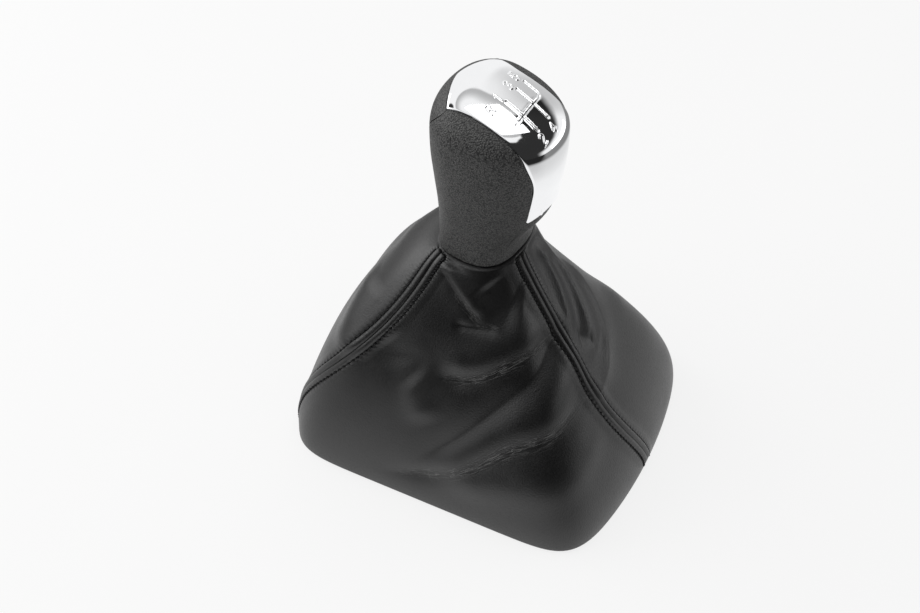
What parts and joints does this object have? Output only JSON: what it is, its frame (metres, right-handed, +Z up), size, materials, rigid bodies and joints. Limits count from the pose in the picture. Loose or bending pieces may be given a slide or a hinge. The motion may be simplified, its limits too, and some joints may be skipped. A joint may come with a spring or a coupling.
{
  "type": "gear shift knob with gaiter",
  "caption": "Push-on gear shift knob with a chrome gate cap and a sewn leather gaiter on its base frame.",
  "frame": {"origin": "the lever's axis at the plane that the gaiter's hem rests on, the middle of the base", "axes": "+Z up along the lever, +Y towards the front of the car, +X towards its right"},
  "size_m": [0.132, 0.162, 0.1946],
  "materials": {
    "leather": "satin black leather",
    "frame_plastic": "moulded black",
    "clip_steel": "spring steel",
    "grip": "soft grained black",
    "insert": "fine grained black",
    "chrome": "bright chrome",
    "core_plastic": "moulded black",
    "bush_metal": "machined",
    "ring_steel": "spring steel",
    "tie_plastic": "moulded black"
  },
  "bodies": {
    "base": {"left_leather": "leather", "right_leather": "leather", "front_leather": "leather", "base_frame": "frame_plastic", "frame_clips": "clip_steel"},
    "knob": {"grip_shell": "grip", "front_insert": "insert", "chrome_cap": "chrome", "knob_core": "core_plastic", "lever_bush": "bush_metal", "bush_ring": "ring_steel", "neck_tie": "tie_plastic"}
  },
  "joints": [
    {"name": "shift_swing", "type": "hinge", "parent": "base", "child": "knob", "pos_m": [0, 0, -0.08], "axis": [1, 0, 0], "range_deg": [-9, 9], "stiffness_Nm_per_rad": 1.5, "deforming": ["left_leather", "right_leather", "front_leather"]}
  ]
}
